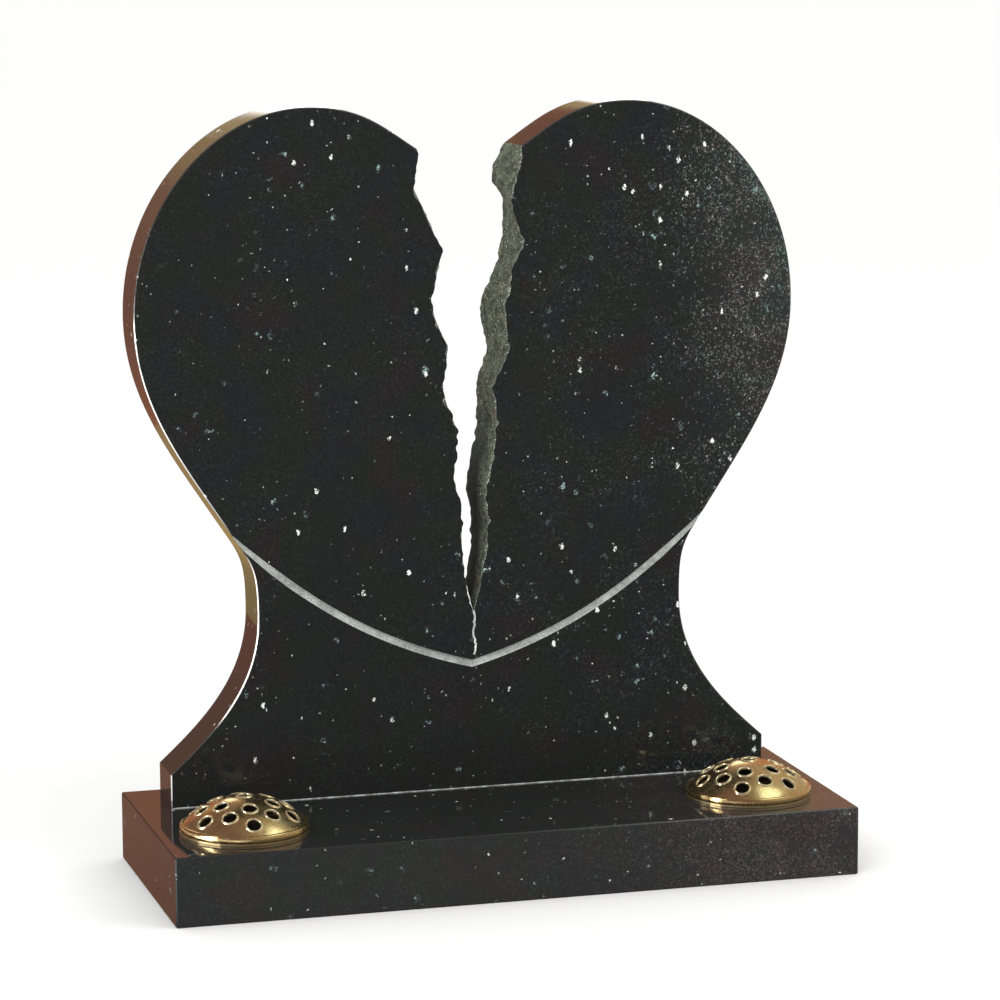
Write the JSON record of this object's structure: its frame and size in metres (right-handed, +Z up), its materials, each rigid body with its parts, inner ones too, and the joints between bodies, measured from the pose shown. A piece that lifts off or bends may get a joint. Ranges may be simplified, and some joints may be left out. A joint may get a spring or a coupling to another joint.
{
  "type": "heart headstone",
  "caption": "Polished dark granite headstone, a heart broken open down its middle on a flared foot, standing on a granite base with domed flower container lids.",
  "frame": {"origin": "centre of the base's underside", "axes": "+Z up, +X to the right seen from the front, +Y to the back; the polished face with the cut lines faces -Y"},
  "size_m": [0.762, 0.305, 0.8403],
  "materials": {
    "granite_base": "polished black-green granite with silver crystal flecks",
    "granite_headstone": "polished black-green granite with silver crystal flecks, rough where it is broken",
    "container_metal": "spun, satin",
    "gold_lid": "gold anodised, semi-gloss"
  },
  "bodies": {
    "root": {"base": "granite_base", "headstone": "granite_headstone", "flower_container_left": "container_metal", "flower_container_right": "container_metal", "flower_lid_left": "gold_lid", "flower_lid_right": "gold_lid"}
  },
  "joints": []
}
